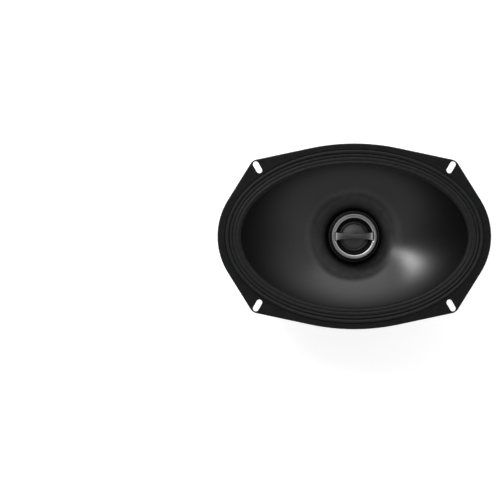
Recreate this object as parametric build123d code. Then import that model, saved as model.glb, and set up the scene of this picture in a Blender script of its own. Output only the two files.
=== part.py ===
from build123d import *
from math import cos, radians, sin, tan
import os

os.makedirs("parts", exist_ok=True)

# Coaxial car speaker, 6 x 9 in oval class. Millimetres. Z points out of the front, X is the long
# axis, the back of the motor stands on z = 0 and the centre line of the motor is x = y = 0.

# ---- heights, from the back of the motor to the front
back_plate_top = 5.8
magnet_top = 21.2
top_plate_top = 25.9
ledge_top = 38.3          # shelf the spider is glued to
skirt_bottom = 60.2
flange_bottom = 76.5
flange_top = 78.9

# ---- mounting flange
flange_half_x, flange_half_y = 118.0, 80.15
flange_top_radius, flange_top_angle = 182.0, 12.0
flange_end_radius, flange_end_angle = 59.4, 32.0
flange_corner_radius = 8.0
slot_x, slot_y = 83.4, 59.5
slot_length, slot_width, slot_angle = 11.0, 5.0, 60.0

# ---- basket pressing
sheet = 1.6
skirt_a, skirt_b = 108.0, 70.5
bowl_a, bowl_b = 83.0, 67.9
ledge_radius = 55.3
seat_depth = 1.0          # step in the flange that takes the surround and its ring
gusset_half_width = 8.0
wire_notch = (-56.6, 12.2)
spoke_side = [(30, 8), (50, 8), (59, 9), (63, 12.5), (71.4, 26), (78, 38), (92, 64)]

# ---- moving system
ring_a, ring_b = 108.0, 71.5   # line the surround, its ring and the cone's edge are offset from
cone_edge_inset = 9.6          # where the flare meets the lip of the surround
cone_edge_z, cone_depth = 76.9, 28.9
cone_curve = 0.5               # 0 is a straight cone; more is steeper near the neck
shell = 0.9
former_inner, former_outer = 14.75, 15.05
coil_outer = 15.95
spider_inner, spider_outer = 15.1, 53.2
rubber = 0.5
clearance = 0.02               # glue line between two parts that sit on each other

# ---- motor
plate_radius, magnet_radius, magnet_bore = 47.0, 49.0, 25.0
gap_radius, pole_radius, pole_bore = 16.45, 14.3, 4.4

rivet_circle, rivet_radius, rivet_head = 33.5, 1.8, 3.2

# ---- tweeter
post_radius, post_shoulder, post_end = 6.5, 58.0, 62.6
thread_radius, wire_bore = 4.0, 2.6
tweeter_base_z, tweeter_floor = 69.4, 71.6
tweeter_base_radius, ring_outer, ring_inner = 21.8, 19.1, 15.7
pot_radius, cup_radius, cup_bottom, cup_top = 16.4, 13.1, 64.5, 70.5
ring_bottom, ring_top = 75.0, 76.4
strap_half, strap_top, strap_sag, strap_sheet = 16.2, 76.4, 1.5, 0.7
strap_half_waist, strap_half_end, strap_foot = 1.8, 3.45, 74.45

# ---- terminals, on a tongue under the spoke at the -X end
terminal_outer, tongue_z = -67.6, 39.2
board_x, board_length, board_width, board_height = -62.65, 8.7, 11.6, 5.3
narrow_x, narrow_y = -61.1, -3.0
wide_x, wide_y = -65.5, 1.4
rivet_x, rivet_y = -61.4, 2.6

# ---- wiring
wire_azimuth, wire_spread, wire_radius = 156.0, 0.85, 0.5


def ellipse_face(a, b, z):
    return Pos(0, 0, z) * Ellipse(a, b)


def oval(a, b, z0, z1):
    return extrude(ellipse_face(a, b, z0), z1 - z0)


def tube(r_out, r_in, z0, z1):
    body = extrude(Pos(0, 0, z0) * Circle(r_out), z1 - z0)
    return body - extrude(Pos(0, 0, z0 - 1) * Circle(r_in), z1 - z0 + 2) if r_in else body


def turned(points):
    """Solid of revolution about Z from (radius, z) corners."""
    return revolve(make_face(Plane.XZ * Polyline(points, close=True)), Axis.Z)


def strip(lower, thickness):
    """Face in XZ between a line of edges and the same line raised by the thickness."""
    upper = [Pos(0, 0, thickness) * e for e in lower]
    start, end = lower[0] @ 0, lower[-1] @ 1
    lift = Vector(0, 0, thickness)
    return make_face([*lower, Line(end, end + lift), *upper, Line(start, start + lift)])


def swept_oval(profile):
    """Profile in XZ at the end of the long axis carried round the oval line."""
    return sweep(profile, path=Wire([Edge.make_ellipse(ring_a, ring_b)]))


def wire_run(points, largest_bend, radius):
    """Round wire along straight runs joined by tangent arcs, as large as the runs allow."""
    points = [Vector(p) for p in points]
    bends = []
    for before, here, after in zip(points, points[1:], points[2:]):
        turn = radians((here - before).get_angle(after - here))
        shorter = min((here - before).length, (after - here).length)
        bends.append(min(largest_bend, 0.45 * shorter / tan(turn / 2)))
    path = FilletPolyline(*points, radius=bends)
    start = Plane(origin=path @ 0, z_dir=path % 0)
    return sweep(start * Circle(radius), path=path)


def save(shape, name):
    shape.label = name
    export_step(shape, f"parts/{name}.step")


def both_ends(shape):
    return shape + mirror(shape, about=Plane.YZ)


rivet_places = [(rivet_circle * cos(radians(a)), rivet_circle * sin(radians(a)))
                for a in (45, 135, 225, 315)]

# =============================================================== basket
# Flange outline: long shallow arcs, rounder ends, straight runs to four corners.
top_tangent = Vector(
    flange_top_radius * sin(radians(flange_top_angle)),
    flange_half_y - flange_top_radius * (1 - cos(radians(flange_top_angle))),
)
end_centre_x = flange_half_x - flange_end_radius
end_tangent = Vector(
    end_centre_x + flange_end_radius * cos(radians(flange_end_angle)),
    flange_end_radius * sin(radians(flange_end_angle)),
)
top_run = Vector(cos(radians(flange_top_angle)), -sin(radians(flange_top_angle)))
end_run = Vector(-sin(radians(flange_end_angle)), cos(radians(flange_end_angle)))
between = end_tangent - top_tangent
reach = (between.X * end_run.Y - between.Y * end_run.X) / (
    top_run.X * end_run.Y - top_run.Y * end_run.X
)
corner = top_tangent + top_run * reach
quarter = [
    ThreePointArc(
        (0, flange_half_y),
        (
            flange_top_radius * sin(radians(flange_top_angle / 2)),
            flange_half_y - flange_top_radius * (1 - cos(radians(flange_top_angle / 2))),
        ),
        top_tangent,
    ),
    Line(top_tangent, corner),
    Line(corner, end_tangent),
    ThreePointArc(
        end_tangent,
        (
            end_centre_x + flange_end_radius * cos(radians(flange_end_angle / 2)),
            flange_end_radius * sin(radians(flange_end_angle / 2)),
        ),
        (flange_half_x, 0),
    ),
]
half = [*quarter, *[mirror(e, about=Plane.XZ) for e in quarter]]
outline = make_face([*half, *[mirror(e, about=Plane.YZ) for e in half]])
corners = [v for v in outline.vertices() if abs(abs(v.X) - corner.X) < 0.01]
outline = fillet(corners, flange_corner_radius)

flange = extrude(Pos(0, 0, flange_bottom) * outline, flange_top - flange_bottom)
rim_edges = flange.edges().group_by(Axis.Z)[-1]
flange = fillet(rim_edges, 1.3)
flange = flange - oval(ring_a + 3.8, ring_b + 3.8, flange_top - seat_depth, flange_top + 1)
for sx in (-1, 1):
    for sy in (-1, 1):
        slot = SlotOverall(slot_length, slot_width, rotation=sx * sy * slot_angle)
        place = Pos(sx * slot_x, sy * slot_y, flange_bottom - 1)
        flange = flange - extrude(place * slot, 5)

# Skirt with the shelf it turns into at the bottom, pressed in one draw.
skirt = oval(skirt_a, skirt_b, skirt_bottom, flange_bottom + 0.5)
skirt = fillet(skirt.edges().group_by(Axis.Z)[0], 4.0)
hollow = oval(skirt_a - sheet, skirt_b - sheet, skirt_bottom + sheet, flange_top + 1)
hollow = fillet(hollow.edges().group_by(Axis.Z)[0], 2.4)
mouth = oval(bowl_a - sheet, bowl_b - sheet, skirt_bottom - 1, skirt_bottom + 5)
skirt = skirt - hollow - mouth
flange = flange - hollow

# Bowl: from the oval shelf in to the round ledge.
bowl_out = loft([ellipse_face(bowl_a, bowl_b, skirt_bottom + 0.6),
                 ellipse_face(ledge_radius, ledge_radius, ledge_top - sheet)])
bowl_in = loft([ellipse_face(bowl_a - sheet, bowl_b - sheet, skirt_bottom + 1.2),
                ellipse_face(ledge_radius - 1.7, ledge_radius - 1.7, ledge_top - sheet - 0.4)])
bowl = bowl_out - bowl_in

# Ledge, neck and the floor that is riveted to the motor.
neck = turned([
    (ledge_radius, ledge_top), (48.8, ledge_top), (44.6, 31.4), (41.4, top_plate_top + sheet),
    (24, top_plate_top + sheet), (24, top_plate_top), (43.0, top_plate_top), (46.2, 30.6),
    (50.0, ledge_top - sheet), (ledge_radius, ledge_top - sheet),
])

# Straps from the ledge down to the neck at both ends, under the end spokes.
gusset_side = Polyline([(56.6, 38.6), (55.0, ledge_top), (44.0, 31.5), (43.6, 28.4)], close=True)
gusset = extrude(Plane.XZ.offset(-gusset_half_width) * make_face(gusset_side),
                 2 * gusset_half_width)
# Tongue lanced out of the end spoke, bent level to carry the terminal block.
tongue = Pos((terminal_outer - 57.2) / 2, 0, tongue_z + sheet / 2) * Box(
    -57.2 - terminal_outer, 10.6, sheet)

# Windows pressed out of the bowl wall, the same front and back.
window_low, window_high = ledge_top + 0.9, skirt_bottom - 1.3
window_faces = [
    Polyline([(-5.4, window_low), (-5.4, window_high), (5.4, window_high), (5.4, window_low)],
             close=True),
]
for s in (-1, 1):
    window_faces.append(Polyline(
        [(s * 19.0, window_low), (s * 29.7, window_low), (s * 32.5, window_high),
         (s * 20.4, window_high)], close=True))
cuts = []
for line in window_faces:
    face = fillet(make_face(Plane.XZ * line).vertices(), 1.5)
    for side in (-1, 1):
        cuts.append(extrude(Pos(0, side * 36, 0) * face, 44, dir=(0, side, 0)))
# Large openings beside the end spokes; the spokes flare where they join the skirt.
beside_spoke = make_face(Polyline([*spoke_side, (92, 80), (30, 80)], close=True))
beside_spoke = fillet(
    [v for v in beside_spoke.vertices() if 50 < v.X < 80], 6.0)
opening = extrude(Pos(0, 0, 30) * beside_spoke, 40)
opening = opening & extrude(make_face(Plane.XZ * Polyline(
    [(38.6, window_low), (55.2, window_high), (95, window_high), (95, window_low)],
    close=True)), 90, dir=(0, 1, 0))
cuts += [opening, mirror(opening, about=Plane.YZ), mirror(opening, about=Plane.XZ),
         mirror(mirror(opening, about=Plane.YZ), about=Plane.XZ)]
for cut in cuts:
    bowl = bowl - cut
# Slot the tongue was lanced from; the flexible leads pass through it.
bowl = bowl - Pos(-63.0, 0, 45.0) * Box(8.4, 11.2, 13.0)

basket = flange + skirt + bowl + neck + both_ends(gusset) + tongue
for x, y in rivet_places:
    basket = basket - Pos(x, y, top_plate_top + 0.8) * Cylinder(rivet_radius + 0.05, 4)
basket = basket - Pos(rivet_x, rivet_y, tongue_z) * Cylinder(1.3, 6)
basket = basket - Pos(narrow_x, narrow_y, tongue_z) * Box(4.4, 1.8, 6)
basket = basket - Pos(wide_x, wide_y, tongue_z) * Box(1.8, 5.8, 6)
# Round notch in the ledge's edge that one tweeter wire drops through.
basket = basket - Pos(*wire_notch, ledge_top) * Cylinder(1.3, 5)
save(basket, "basket")

# =============================================================== front ring and surround
# Ring that clamps the surround in the step of the flange.
gasket = make_face([
    Line((ring_a + 0.35, 0, 79.25), (ring_a + 0.35, 0, 78.45)),
    Line((ring_a + 0.35, 0, 78.45), (ring_a + 3.2, 0, 78.45)),
    Line((ring_a + 3.2, 0, 78.45), (ring_a + 3.2, 0, 79.25)),
    ThreePointArc((ring_a + 3.2, 0, 79.25), (ring_a + 1.77, 0, 80.0), (ring_a + 0.35, 0, 79.25)),
])
save(swept_oval(gasket), "gasket_ring")

# Surround: glued landing, two narrow rolls, a wider roll and a lip glued to the cone.
seat_z = flange_top - seat_depth
lip_z = cone_edge_z + 0.5
surround_line = [
    Line((ring_a + 3.2, 0, seat_z), (ring_a - 0.2, 0, seat_z)),
    ThreePointArc((ring_a - 0.2, 0, seat_z), (ring_a - 1.4, 0, 79.1), (ring_a - 2.8, 0, 78.0)),
    ThreePointArc((ring_a - 2.8, 0, 78.0), (ring_a - 4.3, 0, 79.0), (ring_a - 6.1, 0, 78.35)),
    ThreePointArc((ring_a - 6.1, 0, 78.35), (ring_a - 7.9, 0, 78.9), (ring_a - 9.3, 0, lip_z)),
    Line((ring_a - 9.3, 0, lip_z), (ring_a - 10.1, 0, lip_z)),
]
save(swept_oval(strip(surround_line, rubber)), "surround")

# =============================================================== moving system
# Cone: curved flare from the round neck to the oval edge, steeper near the neck.
neck_z, neck_radius = cone_edge_z - cone_depth, former_outer + shell
sections = []
for s in (0, 0.25, 0.5, 0.75, 1):
    flare = (1 + cone_curve) * s - cone_curve * s * s
    sections.append(ellipse_face(
        neck_radius + (ring_a - cone_edge_inset - neck_radius) * s,
        neck_radius + (ring_b - cone_edge_inset - neck_radius) * s,
        neck_z + cone_depth * flare,
    ))
flare_solid = loft(sections)
cone = flare_solid - Pos(0, 0, shell + 0.1) * flare_solid
cone = cone - Pos(0, 0, neck_z) * Cylinder(former_outer + 0.05, 8)
rim = make_face(Polyline(
    [(ring_a - 10.3, 0, lip_z), (ring_a - 8.8, 0, lip_z), (ring_a - 8.8, 0, lip_z - 0.8),
     (ring_a - 10.3, 0, lip_z - 0.8)], close=True))
cone = cone + swept_oval(rim)
save(cone, "cone")

# Spider: pressed corrugations between the coil former and the ledge.
spider_z, wave, first_wave = ledge_top + 0.05, 3.7, 18.5
spider_line = [Line((spider_inner + 0.4, 0, spider_z), (first_wave, 0, spider_z))]
for k in range(8):
    r = first_wave + wave * k
    spider_line.append(ThreePointArc(
        (r, 0, spider_z), (r + wave / 2, 0, spider_z + (1.3 if k % 2 else -1.3)),
        (r + wave, 0, spider_z)))
spider_line.append(Line((first_wave + 8 * wave, 0, spider_z), (spider_outer, 0, spider_z)))
spider = revolve(strip(spider_line, 0.5), Axis.Z)
spider = spider + tube(spider_inner + 0.6, spider_inner, spider_z, spider_z + 2.1)
save(spider, "spider")

save(tube(former_outer, former_inner, 17.9, neck_z + 2.0), "coil_former")
save(tube(coil_outer, former_outer + 0.01, 18.5, 28.5), "voice_coil")

# =============================================================== motor
top_plate = tube(plate_radius, gap_radius, magnet_top, top_plate_top)
top_plate = fillet(
    [e for e in top_plate.edges().filter_by(GeomType.CIRCLE) if e.radius > 40], 0.8)
rivet_solids = []
for x, y in rivet_places:
    top_plate = top_plate - Pos(x, y, top_plate_top - 2) * Cylinder(rivet_radius + 0.05, 4)
    shank = Pos(x, y, top_plate_top - 1.15) * Cylinder(rivet_radius, 5.5)
    head = extrude(Pos(x, y, top_plate_top + sheet) * Circle(rivet_head), 1.1)
    head = fillet(head.edges().group_by(Axis.Z)[-1], 0.8)
    rivet_solids.append(shank + head)
save(top_plate, "top_plate")
save(Compound(children=rivet_solids), "basket_rivets")

magnet = tube(magnet_radius, magnet_bore, back_plate_top, magnet_top)
magnet = fillet(
    [e for e in magnet.edges().filter_by(GeomType.CIRCLE) if e.radius > 40], 1.6)
save(magnet, "magnet")

# Back plate and pole in one forging, bored through, with a groove for the tweeter wires.
back_plate = turned([
    (pole_bore, 0), (plate_radius - 1.8, 0), (plate_radius, 1.8), (plate_radius, 5.2),
    (plate_radius - 0.6, back_plate_top), (pole_radius, back_plate_top),
    (pole_radius, top_plate_top - 0.8), (pole_radius - 0.8, top_plate_top),
    (pole_bore, top_plate_top),
])
groove = Rot(0, 0, wire_azimuth) * Pos(25, 0, 0) * Box(50, 3.4, 3.4)
back_plate = back_plate - groove
save(back_plate, "back_plate")

# =============================================================== tweeter
# Post: spigot pressed in the pole, tube up through the cone, threaded end for the tweeter.
post = turned([
    (wire_bore, 18.0), (pole_bore - 0.02, 18.0), (pole_bore - 0.02, top_plate_top),
    (post_radius, top_plate_top), (post_radius, post_shoulder), (thread_radius, post_shoulder),
    (thread_radius, post_end), (wire_bore, post_end),
])
save(post, "tweeter_post")
washer = tube(6.6, thread_radius + 0.1, post_shoulder + 1.42, post_shoulder + 2.0)
save(washer - Pos(5.4, 0, post_shoulder + 1.6) * Box(4, 0.8, 2), "lock_washer")
nut = extrude(Pos(0, 0, post_shoulder + 2.02) * RegularPolygon(6.6, 6), 2.4)
nut = nut - Pos(0, 0, post_shoulder + 3) * Cylinder(thread_radius + 0.02, 6)
save(nut, "tweeter_nut")

# Housing: pot below, thin base flange with a raised bead, wall that carries the metal ring.
bead_top = tweeter_base_z + 1.5
wall_top = ring_bottom - clearance
pot_floor = post_shoulder + 1.4
housing = turned([
    (thread_radius + 0.1, post_shoulder), (pot_radius - 0.8, post_shoulder),
    (pot_radius, post_shoulder + 0.8), (pot_radius, tweeter_base_z),
    (tweeter_base_radius, tweeter_base_z), (tweeter_base_radius, bead_top - 0.4),
    (tweeter_base_radius - 0.4, bead_top), (tweeter_base_radius - 0.9, bead_top),
    (tweeter_base_radius - 1.3, bead_top - 0.5), (18.9, wall_top), (16.9, wall_top),
    (16.9, tweeter_floor), (cup_radius + 0.2, tweeter_floor),
    (cup_radius + 0.2, tweeter_base_z + 0.2), (pot_radius - 1.4, tweeter_base_z + 0.2),
    (pot_radius - 1.4, pot_floor), (thread_radius + 0.1, pot_floor),
])
support = tube(cup_radius - 0.1, 11.6, pot_floor - 0.2, cup_bottom)
support = support - Rot(0, 0, wire_azimuth) * Pos(12, 0, 63) * Box(6, 4.4, 6)
save(housing + support, "tweeter_housing")

ring = turned([
    (16.85, ring_bottom), (ring_outer, ring_bottom), (ring_outer, ring_top), (ring_inner, ring_top),
    (ring_inner, 74.6), (16.85, 74.6),
])
ring = fillet(ring.edges().filter_by(GeomType.CIRCLE).group_by(Axis.Z)[-1], 0.9)
# Two notches in its inner edge, where the strap's ends sit.
ring = ring - both_ends(Pos(16.0, 0, 75.5) * Box(2.0, 2 * strap_half_end + 1.0, 4))
save(ring, "tweeter_ring")

# Strap over the dome: a shallow arch, waisted in the middle, its ends bent down to the faceplate.
end, half_end, half_waist = strap_half, strap_half_end, strap_half_waist
strap_plan = make_face([
    ThreePointArc((-end, half_end), (0, half_waist), (end, half_end)),
    Line((end, half_end), (end, -half_end)),
    ThreePointArc((end, -half_end), (0, -half_waist), (-end, -half_end)),
    Line((-end, -half_end), (-end, half_end)),
])
strap_arch = [(end * k / 6, 0, strap_top - strap_sag * (k / 6) ** 4) for k in range(-6, 7)]
strap_under = Polyline([
    (end, strap_top - strap_sag), (end, strap_foot), (end - 1.2, strap_foot),
    (end - 4.0, strap_top - strap_sheet), (4.0 - end, strap_top - strap_sheet),
    (1.2 - end, strap_foot), (-end, strap_foot), (-end, strap_top - strap_sag)])
strap_side = make_face([Spline(strap_arch), *(Plane.XZ * strap_under).edges()])
strap = extrude(Pos(0, 0, 74) * strap_plan, 3) & extrude(strap_side, 5, both=True, dir=(0, 1, 0))
save(strap, "tweeter_strap")

faceplate = turned([
    (13.1, tweeter_floor + 0.35), (16.8, tweeter_floor + 0.35), (16.8, 74.15), (16.2, 74.4),
    (15.2, 74.4), (13.1, 73.0),
])
save(faceplate, "tweeter_faceplate")

# Tweeter motor: steel cup, disc magnet and pole plate.
cup_floor, pole_plate_bottom = cup_bottom + 1.2, cup_top - 1.6
cup = turned([
    (0, cup_bottom), (cup_radius - 0.7, cup_bottom), (cup_radius, cup_bottom + 0.7),
    (cup_radius, cup_top), (11.2, cup_top), (11.2, cup_floor), (0, cup_floor),
])
save(cup, "tweeter_cup")
save(tube(9.0, 0, cup_floor + clearance, pole_plate_bottom - clearance), "tweeter_magnet")
save(tube(10.0, 0, pole_plate_bottom, cup_top), "tweeter_pole_plate")

# Dome with its half roll, and the coil it drives.
dome_base, dome_top, dome_mid, dome_edge, dome_cloth = 71.85, 75.05, 74.234, 10.8, 0.3
dome_outer = ThreePointArc((0.001, 0, dome_top), (5.6, 0, dome_mid), (dome_edge, 0, dome_base))
dome_inner = ThreePointArc((0.001, 0, dome_top - dome_cloth), (5.6, 0, dome_mid - dome_cloth),
                           (dome_edge - 0.5, 0, dome_base))
dome = revolve(make_face([
    dome_outer, Line(dome_outer @ 1, dome_inner @ 1), dome_inner,
    Line(dome_inner @ 0, dome_outer @ 0)]), Axis.Z)
save(dome, "tweeter_dome")
roll_foot = tweeter_floor + clearance
roll = [
    Line((15.8, 0, roll_foot), (12.9, 0, roll_foot)),
    ThreePointArc((12.9, 0, roll_foot), (11.9, 0, tweeter_floor + 0.95),
                  (10.9, 0, tweeter_floor + 0.27)),
]
save(revolve(strip(roll, 0.3), Axis.Z), "tweeter_surround")
save(tube(10.85, 10.3, 68.4, dome_base - clearance), "tweeter_coil")

# =============================================================== terminals
board_top = tongue_z - clearance
board = Pos(board_x, 0, board_top - board_height / 2) * Box(board_length, board_width, board_height)
board = fillet(board.edges().filter_by(Axis.Z), 0.8)
board = chamfer(board.edges().group_by(Axis.Z)[0], 0.5)
board = board - Pos(narrow_x, narrow_y, 36) * Box(2.9, 0.9, 12)
board = board - Pos(wide_x, wide_y, 36) * Box(0.9, 4.9, 12)
board = board - Pos(rivet_x, rivet_y, 36) * Cylinder(1.25, 12)
save(board, "terminal_board")


def tab(width, z_tip, z_top, hole_z):
    """Flat tab standing in XZ: rounded tip below, eye near the tip, blunt lug above."""
    blade = Pos(0, 0, (z_tip + z_top) / 2) * Box(width, 0.8, z_top - z_tip)
    tip = blade.edges().filter_by(Axis.Y).group_by(Axis.Z)[0]
    blade = fillet(tip, width * 0.42)
    return blade - Pos(0, 0, hole_z) * Rot(90, 0, 0) * Cylinder(0.75, 3)


save(Pos(narrow_x, narrow_y, 0) * tab(2.8, 26.8, 42.0, 28.8), "terminal_tab_narrow")
save(Pos(wide_x, wide_y, 0) * Rot(0, 0, 90) * tab(4.8, 29.4, 42.0, 31.8), "terminal_tab_wide")
rivet_low, rivet_high = board_top - board_height, tongue_z + sheet
rivet = tube(1.2, 0.6, rivet_low - 0.5, rivet_high + 0.5)
rivet = rivet + tube(2.0, 1.0, rivet_low - 0.55, rivet_low - 0.02)
rivet = rivet + tube(2.0, 1.0, rivet_high + 0.02, rivet_high + 0.55)
save(Pos(rivet_x, rivet_y, 0) * rivet, "terminal_rivet")

# =============================================================== wiring
# Flexible leads from the terminal lugs, up through the spoke and across to the cone.
leads = []
for x, y in ((narrow_x, narrow_y), (wide_x, wide_y + 1.6)):
    leads.append(wire_run([(x, y, 42.05), (x, y, 50.5), (-48, y, 49.0), (-36, y, 56.6)], 4.0, 0.75))
save(Compound(children=leads), "tinsel_leads")

# Blocking capacitor on the inside of the end spoke.
cap_x, cap_z, cap_radius, cap_length = -68.0, 55.4, 3.5, 12.0
can = Pos(cap_x, 0, cap_z) * Rot(90, 0, 0) * Cylinder(cap_radius, cap_length)
can = fillet(can.edges(), 0.6)
save(can, "crossover_capacitor")
save(wire_run([
    (cap_x, -6.05, cap_z), (cap_x, -8.8, cap_z), (-66.4, -9.2, 50.6), (-66.3, -3.7, 49.9),
    (-66.4, -3.8, 45.2), (-70.3, -4.2, 43.2), (-70.1, -4.1, 39.2), (-67.3, -4.0, 37.4)],
    2.5, 0.5), "capacitor_lead")

# Two tweeter wires: down the side of the magnet, in along the groove, up through pole and post.
u = Vector(cos(radians(wire_azimuth)), sin(radians(wire_azimuth)))
v = Vector(-sin(radians(wire_azimuth)), cos(radians(wire_azimuth)))
starts = {
    -1: [Vector(cap_x, 6.05, cap_z), Vector(cap_x, 10.2, cap_z), Vector(-62.0, 11.2, 46.4),
         Vector(-57.3, 11.6, 40.0), Vector(-53.3, 15.4, 32.8)],
    1: [Vector(-61.5, 5.85, 36.6), Vector(-61.5, 9.5, 36.6), Vector(-53.5, 13.5, 31.5)],
}
wires = []
for side, start in starts.items():
    aside = v * (side * wire_spread)
    route = [*start]
    for r, z in ((50.2, 26.0), (50.2, 0.8), (0.0, 0.8), (0.0, 63.5), (14.05, 63.5), (14.05, 69.2)):
        route.append(u * r + aside + Vector(0, 0, z))
    wires.append(wire_run(route, 3.0, wire_radius))
save(Compound(children=wires), "tweeter_leads")
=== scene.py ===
import math

import bmesh
import bpy
from mathutils import Matrix, Vector


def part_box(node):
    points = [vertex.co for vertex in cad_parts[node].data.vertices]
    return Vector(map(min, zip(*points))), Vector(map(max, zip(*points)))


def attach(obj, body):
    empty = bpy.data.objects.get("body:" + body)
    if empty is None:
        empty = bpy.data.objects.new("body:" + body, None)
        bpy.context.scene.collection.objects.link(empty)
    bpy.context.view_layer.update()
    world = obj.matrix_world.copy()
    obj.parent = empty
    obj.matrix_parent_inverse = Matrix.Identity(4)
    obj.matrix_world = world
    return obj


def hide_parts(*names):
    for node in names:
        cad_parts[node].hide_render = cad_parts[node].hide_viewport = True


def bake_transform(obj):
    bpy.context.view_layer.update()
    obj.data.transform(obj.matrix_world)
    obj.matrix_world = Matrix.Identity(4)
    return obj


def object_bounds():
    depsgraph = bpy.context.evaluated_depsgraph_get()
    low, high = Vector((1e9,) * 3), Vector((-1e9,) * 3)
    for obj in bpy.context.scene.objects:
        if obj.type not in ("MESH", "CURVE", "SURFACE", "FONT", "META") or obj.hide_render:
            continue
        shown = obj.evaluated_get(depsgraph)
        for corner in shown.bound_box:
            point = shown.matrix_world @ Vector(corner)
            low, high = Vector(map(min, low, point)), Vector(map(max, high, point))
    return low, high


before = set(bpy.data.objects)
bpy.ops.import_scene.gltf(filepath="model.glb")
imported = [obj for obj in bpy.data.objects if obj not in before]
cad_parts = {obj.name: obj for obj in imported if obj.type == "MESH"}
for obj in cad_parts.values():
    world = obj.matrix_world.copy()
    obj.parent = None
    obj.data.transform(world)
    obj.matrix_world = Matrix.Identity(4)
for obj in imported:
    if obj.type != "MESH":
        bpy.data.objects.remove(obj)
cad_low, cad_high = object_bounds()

# ---------------------------------------------------------------- back plate and pole
# One steel forging, turned flat, zinc plated. It closes the magnet's back, and its pole stands in
# the voice coil. Its turned shape needs nothing more, so only the plating is added here.
MM = 0.001


def surface(name, colour, metallic, roughness, **sockets):
    """A new material; returns it with its node tree and its shader."""
    material = bpy.data.materials.new(name)
    material.use_nodes = True
    shader = material.node_tree.nodes["Principled BSDF"]
    shader.inputs["Base Color"].default_value = (*colour, 1)
    shader.inputs["Metallic"].default_value = metallic
    shader.inputs["Roughness"].default_value = roughness
    for socket, value in sockets.items():
        shader.inputs[socket.replace("_", " ")].default_value = value
    return material, material.node_tree, shader


def place_of(tree, stretch=(1, 1, 1), output="Object"):
    """Coordinates on the piece, stretched by a mapping."""
    where = tree.nodes.new("ShaderNodeTexCoord")
    mapping = tree.nodes.new("ShaderNodeMapping")
    mapping.inputs["Scale"].default_value = stretch
    tree.links.new(where.outputs[output], mapping.inputs["Vector"])
    return mapping.outputs["Vector"]


def noise(tree, place, grain_size, detail=3.0):
    """Soft blotches, 0 to 1, about one grain_size across."""
    texture = tree.nodes.new("ShaderNodeTexNoise")
    texture.inputs["Scale"].default_value = 1 / grain_size
    texture.inputs["Detail"].default_value = detail
    tree.links.new(place, texture.inputs["Vector"])
    return texture.outputs["Fac"]


def wave(tree, place, pitch, kind, direction, distortion=0.0):
    """Stripes or rings, one every pitch."""
    texture = tree.nodes.new("ShaderNodeTexWave")
    texture.wave_type = kind
    if kind == "RINGS":
        texture.rings_direction = direction
    else:
        texture.bands_direction = direction
    texture.inputs["Scale"].default_value = math.pi / 10 / pitch
    texture.inputs["Distortion"].default_value = distortion
    tree.links.new(place, texture.inputs["Vector"])
    return texture.outputs["Fac"]


def spread(tree, value, low, high, into):
    """The value, 0 to 1, spread between low and high, into a socket."""
    fit = tree.nodes.new("ShaderNodeMapRange")
    fit.inputs["To Min"].default_value = low
    fit.inputs["To Max"].default_value = high
    tree.links.new(value, fit.inputs["Value"])
    tree.links.new(fit.outputs["Result"], into)


def tint(tree, value, dark, light, into, low=0.3, high=0.7):
    """Colour from dark to light by the value, into a colour socket."""
    ramp = tree.nodes.new("ShaderNodeValToRGB")
    ramp.color_ramp.elements[0].position = low
    ramp.color_ramp.elements[0].color = (*dark, 1)
    ramp.color_ramp.elements[1].position = high
    ramp.color_ramp.elements[1].color = (*light, 1)
    tree.links.new(value, ramp.inputs["Fac"])
    tree.links.new(ramp.outputs["Color"], into)


def relief(tree, height, depth, under=None, edge=None):
    """Bump of that depth in metres over what is under it; edge rounds sharp corners by a radius."""
    bump = tree.nodes.new("ShaderNodeBump")
    bump.inputs["Distance"].default_value = depth
    tree.links.new(height, bump.inputs["Height"])
    if edge:
        rounding = tree.nodes.new("ShaderNodeBevel")
        rounding.samples = 4
        rounding.inputs["Radius"].default_value = edge
        under = rounding.outputs["Normal"]
    if under:
        tree.links.new(under, bump.inputs["Normal"])
    return bump.outputs["Normal"]


def zinc_plate():
    """Zinc over turned steel: soft light and dark bloom in the plating, faint rings from the lathe."""
    material, tree, shader = surface("zinc_plate", (0.36, 0.36, 0.38), 1.0, 0.26)
    place = place_of(tree, stretch=(1, 1, 2.5))
    bloom = noise(tree, place, 22 * MM, 3)
    tint(tree, bloom, (0.2, 0.2, 0.215), (0.5, 0.5, 0.52), shader.inputs["Base Color"], 0.36, 0.64)
    spread(tree, noise(tree, place, 2.5 * MM, 5), 0.2, 0.34, shader.inputs["Roughness"])
    rings = wave(tree, place, 0.35 * MM, "RINGS", "Z", 0.4)
    turned_marks = relief(tree, rings, 0.0015 * MM, edge=0.3 * MM)
    pores = relief(tree, noise(tree, place, 0.4 * MM, 2), 0.006 * MM, under=turned_marks)
    tree.links.new(pores, shader.inputs["Normal"])
    return material


def dress(node, material):
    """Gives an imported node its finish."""
    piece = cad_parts[node]
    piece.data.materials.clear()
    piece.data.materials.append(material)
    return piece


zinc = zinc_plate()
dress("back_plate", zinc)

# ---------------------------------------------------------------- magnet
# A ring of sintered ferrite, ground flat on both faces and left moulded on its rim, glued between
# the two plates. Charcoal, fine-grained and slightly chalky.


def line_of(mesh, points):
    """A chain of vertices and edges in XZ through (radius, height) points."""
    verts = [mesh.verts.new((r, 0, z)) for r, z in points]
    return verts, [mesh.edges.new(pair) for pair in zip(verts, verts[1:])]


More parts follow.
